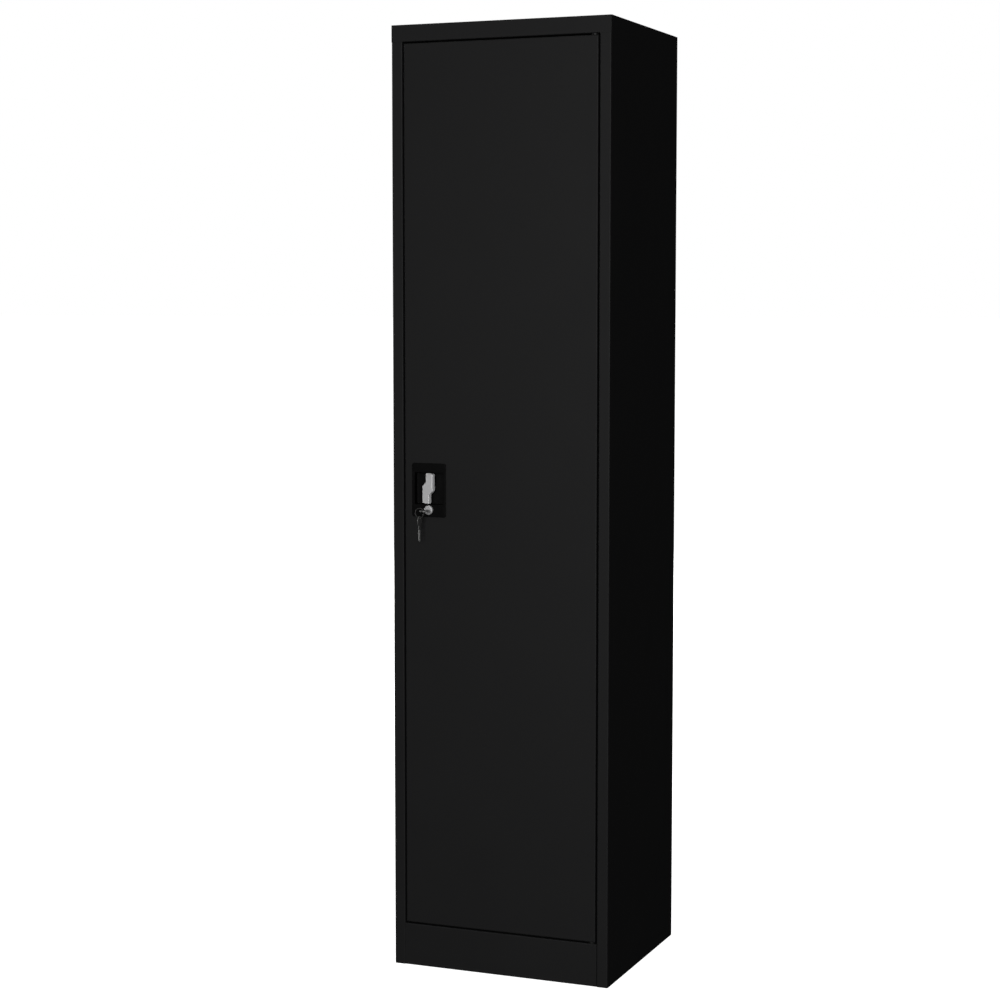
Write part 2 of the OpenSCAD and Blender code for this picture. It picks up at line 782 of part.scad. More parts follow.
module door_skin() {
    wall = [sheet_t, sheet_t];
    plan_low = [-door_x, front_y];
    plan_high = [door_x, front_y + door_t];
    side_low = [front_y, door_bottom];
    side_high = [front_y + door_t, door_top];
    inner_r = bend_r - sheet_t;
    color(BLACK_PAINT) difference() {
        intersection() {
            along_z(door_bottom, door_top) polygon(rounded_points(plan_low, plan_high, bend_r, BEND_STEPS));
            along_x(-door_x, door_x) polygon(rounded_points(side_low, side_high, bend_r, BEND_STEPS));
        }
        intersection() {
            along_z(door_bottom + sheet_t, door_top - sheet_t)
                polygon(rounded_points(plan_low + wall, plan_high - wall, inner_r, BEND_STEPS));
            along_x(-door_x + sheet_t, door_x - sheet_t)
                polygon(rounded_points(side_low + wall, side_high - wall, inner_r, BEND_STEPS));
        }
        block([-door_x + door_lip, front_y + door_t / 2, door_bottom + door_lip],
              [door_x - door_lip, front_y + door_t + over, door_top - door_lip]);
        through_door(-over, sheet_t + over) translate([lock_x, cup_z])
            cup_outline(cut_w, cut_h, cut_corner_r);
        hinge_bar(pin_r + run_clear, door_bottom - over, door_top + over);
        rod_room(1, slot_clear, door_top - sheet_t - over, door_top + over);
        rod_room(-1, slot_clear, door_bottom - over, door_bottom + sheet_t + over);
    }
}

module door_stiffener() {
    foot_y = front_y + 1.5 * sheet_t;
    web_y = front_y + door_t - 3 * sheet_t;
    reach = stiffener_w / 2 + stiffener_foot;
    web = stiffener_w / 2 - sheet_t / 2;
    color(BLACK_PAINT) translate([stiffener_x, 0, 0])
        along_z(door_bottom + sheet_t + bend_r, door_top - sheet_t - bend_r) folded([
            [-reach, foot_y], [-web, foot_y], [-web, web_y],
            [web, web_y], [web, foot_y], [reach, foot_y],
        ]);
}

// Lock

// Rectangle of the cup's shape about its own middle
module cup_outline(w, h, r) {
    rounded_plate([-w / 2, -h / 2], [w / 2, h / 2], r);
}

module boss_places() {
    for (x = [-boss_x, boss_x], z = [-boss_z, boss_z]) translate([lock_x + x, cup_z + z]) children();
}

// Moulded cup: bezel, spigot in the door's cut-out, finger recess, bearing for the handle, seat for
// the cylinder and four screw bosses that reach back to the lock case
module handle_cup() {
    color(BLACK_PLASTIC) difference() {
        union() {
            through_door(-bezel_t, 0) translate([lock_x, cup_z]) cup_outline(cup_w, cup_h, cup_corner_r);
            through_door(-bezel_t / 2, spigot_d) translate([lock_x, cup_z])
                cup_outline(cut_w - 2 * spigot_gap, cut_h - 2 * spigot_gap, cut_corner_r - spigot_gap);
            through_door(0, cup_back) translate([lock_x, recess_mid])
                cup_outline(recess_w + 2 * cup_wall, recess_h + 2 * cup_wall, cup_corner_r);
            cross_bar(lock_x, handle_z, shaft_r + bearing_wall, recess_d, bearing_d);
            cross_bar(lock_x, cylinder_z, cylinder_r + bearing_wall, 0, cup_back);
            through_door(0, case_back) boss_places() circle(r = boss_r);
        }
        through_door(-bezel_t - over, recess_d) translate([lock_x, recess_mid])
            cup_outline(recess_w, recess_h, cup_corner_r - cup_wall);
        cross_bar(lock_x, handle_z, shaft_r + run_clear, recess_d - over, bearing_d + over);
        cross_bar(lock_x, cylinder_z, cylinder_r + run_clear, -bezel_t - over, cup_back + over);
        through_door(case_back - screw_well, case_back + over)
            boss_places() circle(r = case_screw_r + run_clear);
    }
}

// Folded steel box behind the cup; its edge bears on the door skin and its back carries the rotor
module lock_case() {
    color(PLATED_STEEL) difference() {
        through_door(sheet_t, case_rear) translate([lock_x, cup_z]) cup_outline(case_w, case_h, bend_r);
        through_door(sheet_t - over, case_back) translate([lock_x, cup_z])
            cup_outline(case_w - 2 * case_t, case_h - 2 * case_t, bend_r - case_t / 2);
        cross_bar(lock_x, handle_z, hub_r + run_clear, case_back - over, case_rear + over);
        through_door(case_back - over, case_rear + over) boss_places() circle(r = case_screw_r + run_clear);
        rod_room(1, slot_clear, cup_z, cup_z + case_h);
        rod_room(-1, slot_clear, cup_z - case_h, cup_z);
    }
}

module case_screws() {
    color(BRIGHT_STEEL) {
        through_door(case_rear - case_screw_l, case_rear + over) boss_places() circle(r = case_screw_r);
        through_door(case_rear, case_rear + case_screw_head) boss_places() circle(r = 2 * case_screw_r);
    }
}

// Nylon block on the door skin, with a slot for its rod
module rod_guide(side, z) {
    x = lock_x + side * rod_off;
    reach = rod_w / 2 + guide_side;
    difference() {
        block([x - reach, front_y + sheet_t, z - guide_h / 2],
              [x + reach, front_y + rod_d + rod_t + guide_cover, z + guide_h / 2]);
        rod_room(side, seat_gap, z - guide_h, z + guide_h);
    }
}

module rod_guides() {
    case_top = cup_z + case_h / 2;
    case_foot = cup_z - case_h / 2;
    color(BLACK_NYLON)
        for (share = [0.45, 0.93]) {
            rod_guide(1, case_top + (door_top - case_top) * share);
            rod_guide(-1, case_foot + (door_bottom - case_foot) * share);
        }
}

// Flat bar with a slotted yoke that a crank pin drives, up to a tip at height length over the
// handle's axis
module bolt_rod(length) {
    slot_low = [pin_rest - crank_pin_r - yoke_side, yoke_rest - crank_pin_r - yoke_clear];
    slot_high = [crank_r + crank_pin_r + yoke_side, yoke_rest + crank_pin_r + yoke_clear];
    frame = [yoke_end, yoke_wall];
    left = rod_off - rod_w / 2;
    right = rod_off + rod_w / 2;
    through_door(rod_d, rod_d + rod_t) difference() {
        union() {
            translate(slot_low - frame) square(slot_high - slot_low + 2 * frame);
            polygon([
                [left, yoke_rest], [right, yoke_rest],
                [right, length - rod_chamfer], [right - rod_chamfer, length],
                [left + rod_chamfer, length], [left, length - rod_chamfer],
            ]);
        }
        translate(slot_low) square(slot_high - slot_low);
    }
}

module upper_rod() {
    color(PLATED_STEEL) translate([lock_x, 0, handle_z]) bolt_rod(door_top - rod_tip_gap - handle_z);
}

module lower_rod() {
    color(PLATED_STEEL) translate([lock_x, 0, handle_z]) rotate([0, 180, 0])
        bolt_rod(handle_z - door_bottom - rod_tip_gap);
}

// Outline of the grip: two halves set off to the two sides and joined by slopes, with ends that
// follow the circle they sweep
module grip_outline() {
    outer = grip_w / 2 + grip_offset;
    inner = grip_w / 2 - grip_offset;
    intersection() {
        circle(r = grip_reach);
        polygon([
            [-outer, -grip_reach], [inner, -grip_reach],
            [inner, -grip_slope_inner], [outer, -grip_slope_outer],
            [outer, grip_reach], [-inner, grip_reach],
            [-inner, grip_slope_inner], [-outer, grip_slope_outer],
        ]);
    }
}

module turn_handle() {
    grip_back = grip_t - grip_proud;
    color(SATIN_ZINC) difference() {
        union() {
            through_door(-grip_proud, grip_back) translate([lock_x, handle_z]) grip_outline();
            cross_bar(lock_x, handle_z, shaft_r + grip_collar, grip_back - over, recess_d - seat_gap);
            cross_bar(lock_x, handle_z, shaft_r, grip_back, bearing_d);
            through_door(recess_d, hub_end) translate([lock_x, handle_z]) square(square_w, center = true);
        }
        cross_bar(lock_x, handle_z, shaft_screw_r + run_clear, hub_end - shaft_screw_l, hub_end + over);
    }
}

// Rotor with two crank pins and two scallops that the locking cam fills
module lock_rotor() {
    reach = handle_z - cylinder_z;
    color(PLATED_STEEL) translate([lock_x, 0, handle_z]) difference() {
        union() {
            through_door(rotor_d, rotor_d + rotor_t) difference() {
                circle(r = rotor_r);
                for (place = [[0, -reach], [-reach, 0]]) translate(place) circle(r = cam_r + cam_gap);
            }
            cross_bar(0, 0, hub_r, rotor_d, hub_end);
            for (side = [-1, 1])
                cross_bar(side * pin_rest, -side * pin_rest, crank_pin_r, crank_tip, rotor_d + over);
        }
        through_door(rotor_d - over, hub_end + over) square(square_w + 2 * run_clear, center = true);
    }
}

module handle_washer() {
    color(BRIGHT_STEEL) difference() {
        cross_bar(lock_x, handle_z, hub_r + washer_lap, hub_end, hub_end + washer_t);
        cross_bar(lock_x, handle_z, shaft_screw_r + run_clear, hub_end - over, hub_end + washer_t + over);
    }
}

module handle_screw() {
    seat = hub_end + washer_t;
    color(BRIGHT_STEEL) {
        cross_bar(lock_x, handle_z, shaft_screw_r, seat - shaft_screw_l, seat + over);
        cross_bar(lock_x, handle_z, shaft_screw_head_r, seat, seat + shaft_screw_head);
    }
}

module lock_cylinder() {
    color(SATIN_ZINC) difference() {
        union() {
            cross_bar(lock_x, cylinder_z, cylinder_r + cylinder_lip, -bezel_t - cylinder_proud, -bezel_t);
            cross_bar(lock_x, cylinder_z, cylinder_r, -bezel_t - over, cylinder_end);
        }
        cross_bar(lock_x, cylinder_z, plug_r + run_clear,
                  -bezel_t - cylinder_proud - over, cylinder_end + over);
    }
}

module lock_nut() {
    color(BRIGHT_STEEL) difference() {
        through_door(cup_back, cup_back + nut_t) translate([lock_x, cylinder_z]) circle(r = nut_r, $fn = 6);
        cross_bar(lock_x, cylinder_z, cylinder_r + run_clear, cup_back - over, cup_back + nut_t + over);
    }
}

// Plug with a slot for the key in front and a square for the cam behind
module lock_plug() {
    key_slot = [blade_w + 2 * blade_clear, key_t + 2 * blade_clear];
    tail_end = cam_d + cam_t;
    color(BRIGHT_STEEL) difference() {
        union() {
            cross_bar(lock_x, cylinder_z, plug_r, -plug_front, cam_d);
            through_door(cam_d - over, tail_end) translate([lock_x, cylinder_z])
                square(tail_w, center = true);
        }
        through_door(-plug_front - over, blade_l + blade_clear - key_shoulder)
            translate([lock_x, cylinder_z]) square(key_slot, center = true);
        cross_bar(lock_x, cylinder_z, cam_screw_r + run_clear, tail_end - cam_screw_l, tail_end + over);
    }
}

// Cam on the plug's tail: a fan whose rim fills a scallop of the rotor when it is turned up
module lock_cam() {
    far = cam_r + over;
    color(PLATED_STEEL) through_door(cam_d, cam_d + cam_t) translate([lock_x, cylinder_z]) difference() {
        union() {
            circle(r = cam_hub_r);
            intersection() {
                circle(r = cam_r);
                polygon([[0, -cam_root], [0, cam_root], [far, cam_spread], [far, -cam_spread]]);
            }
        }
        square(tail_w + 2 * run_clear, center = true);
    }
}

module cam_screw() {
    seat = cam_d + cam_t;
    color(BRIGHT_STEEL) {
        cross_bar(lock_x, cylinder_z, cam_screw_r, seat - cam_screw_l, seat + over);
        cross_bar(lock_x, cylinder_z, cam_screw_head_r, seat, seat + cam_screw_head);
    }
}

// Keys

// Flat key with the hole of its bow at the origin and its blade along the first axis
module key_outline() {
    tip = key_neck + blade_l;
    half = blade_w / 2;
    root = key_neck - over;
    difference() {
        union() {
            translate([bow_centre, 0]) circle(r = bow_r);
            translate([bow_centre, -stem_w / 2]) square([key_neck - bow_centre, stem_w]);
            polygon([
                [root, -half], [tip - blade_point, -half], [tip, blade_point - half],
                [tip - blade_point, half],
                for (i = [0 : len(cut_depths) - 1])
                    [tip - blade_point - cut_pitch * (i + 1), half - cut_depths[i]],
                [tip - blade_point - cut_pitch * (len(cut_depths) + 1), half], [root, half],
            ]);
        }
        circle(r = bow_hole_r);
    }
}

// The key in the lock lies level, with its hole upright
module door_key() {
    color(BRIGHT_STEEL) translate([lock_x, key_y, cylinder_z - key_t / 2]) rotate([0, 0, 90])
        linear_extrude(key_t) key_outline();
}

module key_ring() {
    color(BRIGHT_STEEL) translate([ring_x, key_y, ring_z]) rotate([90, 0, 0])
        rotate_extrude() translate([ring_r, 0]) circle(r = ring_wire_r, $fn = 24);
}

// The spare key hangs from the foot of the ring, edge on to the front
module spare_key() {
    color(BRIGHT_STEEL) translate([ring_x - key_t / 2, key_y, ring_z - ring_r - hang_play])
        rotate([0, 90, 0]) linear_extrude(key_t) key_outline();
}

left_side_panel();
right_side_panel();
back_panel();
top_panel();
plinth_frame();
floor_panel();
upright_left_front();
upright_left_rear();
upright_right_front();
upright_right_rear();
shelf_clips();
shelf(1);  // shelf_1
shelf(2);  // shelf_2
shelf(3);  // shelf_3
shelf(4);  // shelf_4
door_buffers();
hinge_bush_upper();
hinge_bush_lower();
door_skin();
door_stiffener();
upper_hinge_bracket();
lower_hinge_bracket();
lower_hinge_pin();
upper_hinge_pin();
hinge_pin_clip();
hinge_spring();
handle_cup();
lock_case();
case_screws();
rod_guides();
upper_rod();
lower_rod();
turn_handle();
lock_rotor();
handle_washer();
handle_screw();
lock_cylinder();
lock_nut();
lock_plug();
lock_cam();
cam_screw();
door_key();
key_ring();
spare_key();
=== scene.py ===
"""A tall one-door steel cabinet, with its lock, keys and loose shelves, in a plain studio.

Lengths are in metres, and the camera's lens and sensor in millimetres.
"""

import json
import math

import bmesh
import bpy
from mathutils import Matrix, Vector


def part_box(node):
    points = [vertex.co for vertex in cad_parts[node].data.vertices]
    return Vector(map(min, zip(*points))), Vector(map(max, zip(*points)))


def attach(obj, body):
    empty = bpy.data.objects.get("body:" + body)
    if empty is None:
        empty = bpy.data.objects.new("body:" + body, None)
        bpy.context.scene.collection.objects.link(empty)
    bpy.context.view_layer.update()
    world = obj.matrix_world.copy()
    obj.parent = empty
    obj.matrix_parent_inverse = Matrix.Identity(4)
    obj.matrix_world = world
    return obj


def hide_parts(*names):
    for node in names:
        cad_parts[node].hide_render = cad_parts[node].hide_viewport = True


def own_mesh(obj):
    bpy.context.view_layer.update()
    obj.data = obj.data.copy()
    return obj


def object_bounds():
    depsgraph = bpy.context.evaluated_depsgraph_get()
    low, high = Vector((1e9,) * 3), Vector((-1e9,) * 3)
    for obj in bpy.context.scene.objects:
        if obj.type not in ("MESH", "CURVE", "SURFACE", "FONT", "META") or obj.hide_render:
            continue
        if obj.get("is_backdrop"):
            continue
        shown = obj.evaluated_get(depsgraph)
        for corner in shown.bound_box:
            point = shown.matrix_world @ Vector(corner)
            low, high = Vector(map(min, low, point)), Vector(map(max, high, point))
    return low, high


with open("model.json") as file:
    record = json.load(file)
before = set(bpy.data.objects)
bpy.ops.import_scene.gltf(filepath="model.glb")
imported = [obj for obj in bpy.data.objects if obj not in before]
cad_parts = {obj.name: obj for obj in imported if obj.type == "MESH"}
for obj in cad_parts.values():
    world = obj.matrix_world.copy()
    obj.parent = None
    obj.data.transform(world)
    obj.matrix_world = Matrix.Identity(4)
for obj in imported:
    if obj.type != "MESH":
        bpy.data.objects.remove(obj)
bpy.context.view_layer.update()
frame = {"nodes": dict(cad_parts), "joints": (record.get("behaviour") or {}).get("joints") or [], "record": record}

# Camera: it stands to the right of the cabinet's front, at chest height, and looks slightly down
# with a long lens. Tones are kept as they are lit, so that the black stays black on white.
CAMERA_PLACE = (1.6392, -4.2059, 1.3221)
CAMERA_YAW = 0.3881
CAMERA_PITCH = 0.0886
CAMERA_LENS = 81.12
CAMERA_SENSOR = 36
CAMERA_REACH = 400

bpy.context.scene.view_settings.view_transform = "Standard"
camera = bpy.data.objects.new("camera", bpy.data.cameras.new("camera"))
camera.data.sensor_width = CAMERA_SENSOR
camera.data.lens = CAMERA_LENS
camera.data.clip_end = CAMERA_REACH
camera.location = CAMERA_PLACE
camera.rotation_euler = (math.pi / 2 - CAMERA_PITCH, 0, CAMERA_YAW)
bpy.context.scene.collection.objects.link(camera)
bpy.context.scene.camera = camera

# Powder coat: black polyester powder baked on degreased sheet. It levels to a fine orange peel with
# a satin gloss, a shade uneven from place to place, with a few specks of dust baked in.
COAT_DEEP = (0.0092, 0.0092, 0.0095)
COAT_PALE = (0.0118, 0.0118, 0.0121)
SPECK_LEVEL = 0.74


class Reading:
    """A socket of a look's nodes. Sums on it add the nodes that work them out."""

    def __init__(self, look, socket):
        self.look = look
        self.socket = socket

    def calculated(self, operation, first, second):
        return self.look.node("ShaderNodeMath", {"operation": operation}, {0: first, 1: second})

    def __add__(self, other):
        return self.calculated("ADD", self, other)

    def __radd__(self, other):
        return self.calculated("ADD", other, self)

    def __sub__(self, other):
        return self.calculated("SUBTRACT", self, other)

    def __rsub__(self, other):
        return self.calculated("SUBTRACT", other, self)

    def __mul__(self, other):
        return self.calculated("MULTIPLY", self, other)

    def __rmul__(self, other):
        return self.calculated("MULTIPLY", other, self)

    def __gt__(self, other):
        return self.calculated("GREATER_THAN", self, other)


class Look:
    """The nodes of a finish or of the surround: its shader's fixed numbers and what varies them."""

    def __init__(self, owner, shader, fixed):
        owner.use_nodes = True
        self.tree = owner.node_tree
        self.shader = self.tree.nodes[shader]
        for label, number in fixed.items():
            self.shader.inputs[label].default_value = number

    def node(self, kind, settings, inputs, output=0):
        """Adds a node: its settings first, then the values or links of its sockets."""
        made = self.tree.nodes.new(kind)
        for name, setting in settings.items():
            setattr(made, name, setting)
        for key, value in inputs.items():
            if isinstance(value, Reading):
                self.tree.links.new(value.socket, made.inputs[key])
            else:
                made.inputs[key].default_value = value
        return Reading(self, made.outputs[output])

    def set(self, label, reading):
        self.tree.links.new(reading.socket, self.shader.inputs[label])


class Finish(Look):
    """One surface finish of the cabinet, as a material."""

    def __init__(self, name, fixed):
        self.material = bpy.data.materials.new(name)
        super().__init__(self.material, "Principled BSDF", fixed)

    def place(self, stretch=(1, 1, 1)):
        """Where a point of the surface lies on the cabinet, in metres, stretched along the axes."""
        spot = self.node("ShaderNodeTexCoord", {}, {}, "Object")
        return self.node("ShaderNodeMapping", {}, {"Vector": spot, "Scale": stretch})

    def noise(self, per_metre, detail=2, stretch=(1, 1, 1)):
        """A soft irregular pattern from 0 to 1, with so many spots a metre."""
        return self.node("ShaderNodeTexNoise", {},
                         {"Vector": self.place(stretch), "Scale": per_metre, "Detail": detail})

    def tint(self, share, first, second):
        """A colour between the first and the second, by a share from 0 to 1."""
        return self.node("ShaderNodeMix", {"data_type": "RGBA"},
                         {0: share, 6: (*first, 1), 7: (*second, 1)}, 2)

    def relief(self, height, depth, strength):
        """Bumps of the surface: a height from 0 to 1 that is depth metres deep."""
        self.set("Normal", self.node("ShaderNodeBump", {},
                                     {"Height": height, "Distance": depth, "Strength": strength}))


coat = Finish("black_powder_coat", {"Specular IOR Level": 0.2})
clouds = coat.noise(5, detail=3)
specks = coat.noise(900, detail=1) > SPECK_LEVEL
coat.set("Base Color", coat.tint(clouds * 0.8 + specks * 0.5, COAT_DEEP, COAT_PALE))
coat.set("Roughness", 0.5 + 0.1 * coat.noise(14, detail=4) + 0.04 * coat.noise(420))
orange_peel = coat.noise(480) + 0.4 * coat.noise(1500, detail=1)
coat.relief(orange_peel, depth=0.00006, strength=0.35)

# Casing, shelves and door: folded and spot-welded sheet, all coated alike after welding. The CAD
# solids have the folds, the slots and the hairlines at the welds, so they only get their coat.
SLOT_OF = {part["node"]: part["material_slot"] for part in frame["record"]["subparts"]}

for node, slot in SLOT_OF.items():
    if slot == "black_powder_coat":
        sheet_metal = frame["nodes"][node].data
        sheet_metal.materials.clear()
        sheet_metal.materials.append(coat.material)

# Zinc-plated works: pressed and turned steel with a thin bright passivated zinc layer, a little
# cloudy, for the brackets, pins, clips, rods and lock case. Their cut edges are tumbled smooth.
ZINC_COOL = (0.38, 0.395, 0.42)
ZINC_WARM = (0.46, 0.445, 0.41)
TUMBLED_EDGES = {
    "shelf_clips": 0.0003, "upper_hinge_bracket": 0.0004, "lower_hinge_bracket": 0.0004,
    "lower_hinge_pin": 0.0004, "upper_hinge_pin": 0.0004, "lock_case": 0.0003,
    "upper_rod": 0.0003, "lower_rod": 0.0003, "lock_rotor": 0.0003, "lock_cam": 0.0003,
}
SAME_POINT = 1e-6
FLAT_BELOW = math.radians(1)
SMOOTH_BELOW = math.radians(35)
EASED_ABOVE = math.radians(40)
BODY_OF = {node: body for body, nodes in frame["record"]["behaviour"]["bodies"].items()
           for node in nodes}

zinc = Finish("zinc_plated_steel", {"Metallic": 0.85})
zinc.set("Base Color", zinc.tint(zinc.noise(38, detail=3), ZINC_COOL, ZINC_WARM))
zinc.set("Roughness", 0.34 + 0.16 * zinc.noise(60, detail=4))
zinc.relief(zinc.noise(700), depth=0.00005, strength=0.3)


def shown(name, bm, finish, node):
    """Makes a piece of a finished mesh that shows in place of a node and moves with its body."""
    mesh = bpy.data.meshes.new(name)
    bm.to_mesh(mesh)
    bm.free()
    mesh.polygons.foreach_set("use_smooth", [True] * len(mesh.polygons))
    mesh.set_sharp_from_angle(angle=SMOOTH_BELOW)
    piece = bpy.data.objects.new(name, mesh)
    bpy.context.scene.collection.objects.link(piece)
    mesh.materials.append(finish.material)
    piece.modifiers.new("levelled", "WEIGHTED_NORMAL").keep_sharp = True
    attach(piece, BODY_OF[node])
    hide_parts(node)
    return piece


def rounded_off(bm, edges, width, steps):
    """Rounds edges to a width, in so many steps."""
    bmesh.ops.bevel(bm, geom=edges, offset=width, offset_type="OFFSET", segments=steps,
                    profile=0.5, affect="EDGES", clamp_overlap=True, material=-1)


def eased(node, width, finish, steps=2):
    """A copy of a node's solids with their sharp edges eased to a small radius."""
    bm = bmesh.new()
    bm.from_mesh(frame["nodes"][node].data)
    bmesh.ops.remove_doubles(bm, verts=bm.verts, dist=SAME_POINT)
    bmesh.ops.dissolve_limit(bm, angle_limit=FLAT_BELOW, verts=bm.verts, edges=bm.edges)
    sharp = [e for e in bm.edges if len(e.link_faces) == 2 and e.calc_face_angle() > EASED_ABOVE]
    rounded_off(bm, sharp, width, steps)
    shown(f"{node}_eased", bm, finish, node)


for node, width in TUMBLED_EDGES.items():
    eased(node, width, zinc)

# Nylon bushes and rod guides: black mouldings with a slight sheen. The bushes are pressed into the
# rail and the plinth, and the guides are clipped to the inside of the door.
NYLON_DEEP = (0.006, 0.006, 0.006)
NYLON_PALE = (0.009, 0.009, 0.009)
NYLON_EDGE = 0.0004

nylon = Finish("nylon", {"Specular IOR Level": 0.3})
nylon.set("Base Color", nylon.tint(nylon.noise(90), NYLON_DEEP, NYLON_PALE))
nylon.set("Roughness", 0.42 + 0.1 * nylon.noise(300))
nylon.relief(nylon.noise(900), depth=0.00004, strength=0.25)

for node in ("hinge_bush_upper", "hinge_bush_lower", "rod_guides"):
    eased(node, NYLON_EDGE, nylon)

# Door buffers: three soft black rubber buttons stuck to the stop lip on the lock side, each with a
# rounded rim that the door closes against.
RUBBER_DEEP = (0.012, 0.012, 0.012)
RUBBER_PALE = (0.02, 0.02, 0.02)
BUFFER_RIM = 0.0009
BUFFER_STEPS = 4

rubber = Finish("rubber", {"Specular IOR Level": 0.3})
rubber.set("Base Color", rubber.tint(rubber.noise(120, detail=3), RUBBER_DEEP, RUBBER_PALE))
rubber.set("Roughness", 0.75 + 0.12 * rubber.noise(200))
rubber.relief(rubber.noise(1200), depth=0.00006, strength=0.4)

eased("door_buffers", BUFFER_RIM, rubber, BUFFER_STEPS)

# Hinge spring: six turns of hard-drawn wire between the upper bracket's arm and the clip on the
# pin. It shortens as the pin is pulled down. The clip is a stamped ring of the same bright steel.
STEEL_DARK = (0.52, 0.52, 0.52)
STEEL_PALE = (0.66, 0.66, 0.65)
SPRING_WIRE = 0.001
SPRING_TURNS = 6
SPRING_STEPS = 28
WIRE_SIDES = 12
CLIP_EDGE = 0.0002

steel = Finish("bright_steel", {"Metallic": 0.8})
steel.set("Base Color", steel.tint(steel.noise(80, detail=3), STEEL_DARK, STEEL_PALE))
steel.set("Roughness", 0.26 + 0.16 * steel.noise(160, detail=4, stretch=(1, 1, 0.2)))
steel.relief(steel.noise(1400, detail=3, stretch=(1, 1, 0.15)), depth=0.00004, strength=0.3)

joint_place = {joint["name"]: Vector(joint["pos_m"])
               for joint in frame["joints"] if "pos_m" in joint}


def edges_of(verts):
    """The edges at a row of vertices, each once and in the same order on every run."""
    return list(dict.fromkeys(edge for vert in verts for edge in vert.link_edges))


def round_rings(bm, centre, sides, profile):
    """The edges of circles that face the front, round a centre, each of a radius and at a depth."""
    rings = []
    for radius, y in profile:
        turned = Matrix.Translation((centre.x, y, centre.z)) @ Matrix.Rotation(math.pi / 2, 4, "X")
        made = bmesh.ops.create_circle(bm, segments=sides, radius=radius, matrix=turned)
        rings.append(edges_of(made["verts"]))
    return rings


def wound(bm, centre, axis, rise, turns, steps_a_turn):
    """Winds the outline of a wire round an axis, rising along it, and closes the wire's ends."""
    steps = turns * steps_a_turn
    bmesh.ops.spin(bm, geom=bm.edges[:], cent=centre, axis=axis, dvec=Vector(axis) * rise / steps,
                   angle=2 * math.pi * turns, steps=steps, use_merge=False)
    bmesh.ops.holes_fill(bm, edges=[e for e in bm.edges if e.is_boundary])
    bmesh.ops.recalc_face_normals(bm, faces=bm.faces)


spring_low, spring_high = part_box("hinge_spring")
hinge_x, hinge_y = joint_place["door_swing"].xy
coil_r = (spring_high.x - spring_low.x) / 2 - SPRING_WIRE / 2
coil_rise = spring_high.z - spring_low.z - SPRING_WIRE
wire_start = Vector((hinge_x + coil_r, hinge_y, spring_low.z + SPRING_WIRE / 2))
bm = bmesh.new()
round_rings(bm, wire_start, WIRE_SIDES, [(SPRING_WIRE / 2, hinge_y)])
wound(bm, (hinge_x, hinge_y, 0), (0, 0, 1), coil_rise, SPRING_TURNS, SPRING_STEPS)
spring = shown("spring_wire", bm, steel, "hinge_spring")
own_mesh(spring)

eased("hinge_pin_clip", CLIP_EDGE, steel)

# Handle cup: a black glass-filled moulding let into the door, with a bezel, a deep finger recess
# and a level band below it where the cylinder sits. Four posts behind it take the case's screws.
PLASTIC_DEEP = (0.0016, 0.0016, 0.0016)
PLASTIC_PALE = (0.0026, 0.0026, 0.0027)
FRONT_Y = -0.2
BEZEL_R = 0.004
BEZEL_EDGE = 0.0009
BEZEL_STANDOFF = 0.00002
RECESS_W = 0.061
RECESS_H = 0.0625
RECESS_DEPTH = 0.011
RECESS_R = 0.0024
RECESS_RIM = 0.0006
RIM_BEND = 0.3
DRAFT = 0.0005
FLOOR_EDGE = 0.0012
FLOOR_BEND = 0.0004
LOCK_BAND = 0.0245
CUP_WALL = 0.0016
SPIGOT_DEPTH = 0.003
SPIGOT_INSET = 0.0025
SPIGOT_R = 0.0027
SHAFT_HOLE_R = 0.00605
BEARING_LAND = 0.0024
BEARING_R = 0.009
BEARING_END = 0.0141
BARREL_HOLE_R = 0.00805
BARREL_BOSS_R = 0.0106
BOSS_SUNK = 0.0005
POST_R = 0.004
POST_END = 0.024
POST_INSET = 0.0066
POST_SIDES = 24
WELL_R = 0.00205
WELL_DEPTH = 0.01
CORNER_STEPS = 8
ROUND_SIDES = 36

plastic = Finish("black_plastic", {"Specular IOR Level": 0.08})
plastic.set("Base Color", plastic.tint(plastic.noise(60, detail=3), PLASTIC_DEEP, PLASTIC_PALE))
plastic.set("Roughness", 0.46 + 0.12 * plastic.noise(500))
plastic.relief(plastic.noise(1800), depth=0.00005, strength=0.4)


def frame_rings(bm, low, high, radius, profile):
    """The edges of rounded rectangles, each so far inside two corners (x, z) and at a depth."""
    rings = []
    for inside, y in profile:
        left, bottom, right, top = (low[0] + inside, low[1] + inside,
                                    high[0] - inside, high[1] - inside)
        corners = [bm.verts.new((x, y, z))
                   for x, z in ((left, bottom), (right, bottom), (right, top), (left, top))]
        bm.faces.new(corners)
        arcs = bmesh.ops.bevel(bm, geom=corners, offset=radius, offset_type="OFFSET",
                               segments=CORNER_STEPS, profile=0.5, affect="VERTICES", material=-1)
        face = next(f for f in bm.faces if set(arcs["verts"]) <= set(f.verts) and len(f.verts) > 4)
        rings.append(list(face.edges))
        bmesh.ops.delete(bm, geom=[face], context="FACES_ONLY")
    return rings


def flat(bm, edges, facing=1):
    """A flat between rings that lie at one depth. It faces the front with -1."""
    bmesh.ops.triangle_fill(bm, use_beauty=True, edges=edges, normal=(0, facing, 0))


def bridged(bm, rings):
    """A wall from each ring to the next, or a flat where both lie at one depth."""
    for near, far in zip(rings, rings[1:]):
        if abs(near[0].verts[0].co.y - far[0].verts[0].co.y) < SAME_POINT:
            flat(bm, near + far)
        else:
            bmesh.ops.bridge_loops(bm, edges=near + far)


